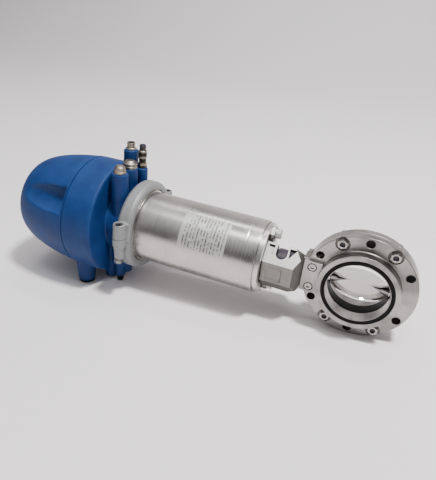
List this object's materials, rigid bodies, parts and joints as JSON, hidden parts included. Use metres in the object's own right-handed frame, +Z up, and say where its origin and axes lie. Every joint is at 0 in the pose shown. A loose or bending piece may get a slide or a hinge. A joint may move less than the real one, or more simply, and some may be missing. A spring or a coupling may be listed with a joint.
{
  "type": "pneumatic butterfly valve",
  "caption": "Flanged hygienic butterfly valve with a bolted split housing, polished disc, yoke, spring-return pneumatic cylinder and a domed control head, lying on its side.",
  "frame": {"origin": "middle of the bounding box's base, on the level surface that the valve lies on", "axes": "+X towards the valve body, away from the control head; -Y out of the front port; +Z up. The stem axis dips 3.34 degrees towards +X, because the flange rim and the control head's bosses both stand on the surface"},
  "size_m": [0.5932, 0.172, 0.2082],
  "materials": {
    "turned_steel": "satin turned stainless steel",
    "cast_steel": "blasted stainless casting with machined faces",
    "mirror_steel": "mirror-polished stainless steel",
    "tube_steel": "stainless tube brushed round its girth",
    "bolt_steel": "stainless fastener",
    "clamp_casting": "matte grey casting, fine grain",
    "black_rubber": "black EPDM",
    "dark_plastic": "black engineering plastic",
    "blue_plastic": "satin blue moulded plastic",
    "white_plastic": "off-white bearing plastic",
    "aluminium": "machined aluminium",
    "spring_steel": "oiled spring wire",
    "brass": "dull brass",
    "nickel": "nickel-plated brass",
    "circuit_board": "green laminate",
    "label": "silver printed label"
  },
  "bodies": {
    "root": {"front_housing": "turned_steel", "rear_housing": "turned_steel", "end_plate": "turned_steel", "head_plate": "turned_steel", "guide_rod_1": "turned_steel", "guide_rod_2": "turned_steel", "seat_ring": "black_rubber", "front_face_seal": "black_rubber", "rear_face_seal": "black_rubber", "end_plate_seal": "black_rubber", "head_plate_seal": "black_rubber", "cap_seal": "black_rubber", "drain_plug": "black_rubber", "foot_plug_1": "black_rubber", "foot_plug_2": "black_rubber", "stem_bush": "white_plastic", "trunnion_bush": "white_plastic", "housing_screw_1": "bolt_steel", "housing_screw_2": "bolt_steel", "housing_screw_3": "bolt_steel", "housing_screw_4": "bolt_steel", "housing_nut_1": "bolt_steel", "housing_nut_2": "bolt_steel", "housing_nut_3": "bolt_steel", "housing_nut_4": "bolt_steel", "yoke_screw_1": "bolt_steel", "yoke_screw_2": "bolt_steel", "bracket_bolt_1": "bolt_steel", "bracket_bolt_2": "bolt_steel", "clamp_screw_1": "bolt_steel", "clamp_screw_2": "bolt_steel", "clamp_nut_1": "bolt_steel", "clamp_nut_2": "bolt_steel", "yoke": "cast_steel", "solenoid_valve": "dark_plastic", "position_sensor": "dark_plastic", "actuator_tube": "tube_steel", "piston_spring": "spring_steel", "upper_clamp_half": "clamp_casting", "lower_clamp_half": "clamp_casting", "head_base": "blue_plastic", "head_cap": "blue_plastic", "controller_board": "circuit_board", "plug_connector": "nickel", "air_fitting": "nickel", "vent_cap": "nickel", "exhaust_silencer": "brass", "name_plate": "label"},
    "disc_assembly": {"disc_and_stem": "mirror_steel", "stem_coupling": "dark_plastic", "position_indicator": "white_plastic", "spindle": "turned_steel", "cam_pin": "bolt_steel"},
    "piston_assembly": {"piston": "aluminium", "piston_seal": "black_rubber", "cam_sleeve": "turned_steel", "signal_rod": "turned_steel", "position_magnet": "bolt_steel"},
    "collet": {"air_fitting_collet": "dark_plastic"}
  },
  "joints": [
    {"name": "disc_turn", "type": "hinge", "parent": "root", "child": "disc_assembly", "pos_m": [0.22288, 0, 0.07375], "axis": [0.9983, 0, -0.0582], "range_deg": [0, 90]},
    {"name": "piston_stroke", "type": "slide", "parent": "root", "child": "piston_assembly", "axis": [-0.9983, 0, 0.0582], "range_m": [0, 0.045], "deforming": ["piston_spring"]},
    {"name": "collet_release", "type": "slide", "parent": "root", "child": "collet", "axis": [-0.0582, 0, -0.9983], "range_m": [0, 0.0015], "stiffness_N_per_m": 300, "springref_m": -0.002}
  ],
  "couplings": [
    {"joint": "piston_stroke", "follows": "disc_turn", "m_per_rad": 0.028648}
  ]
}
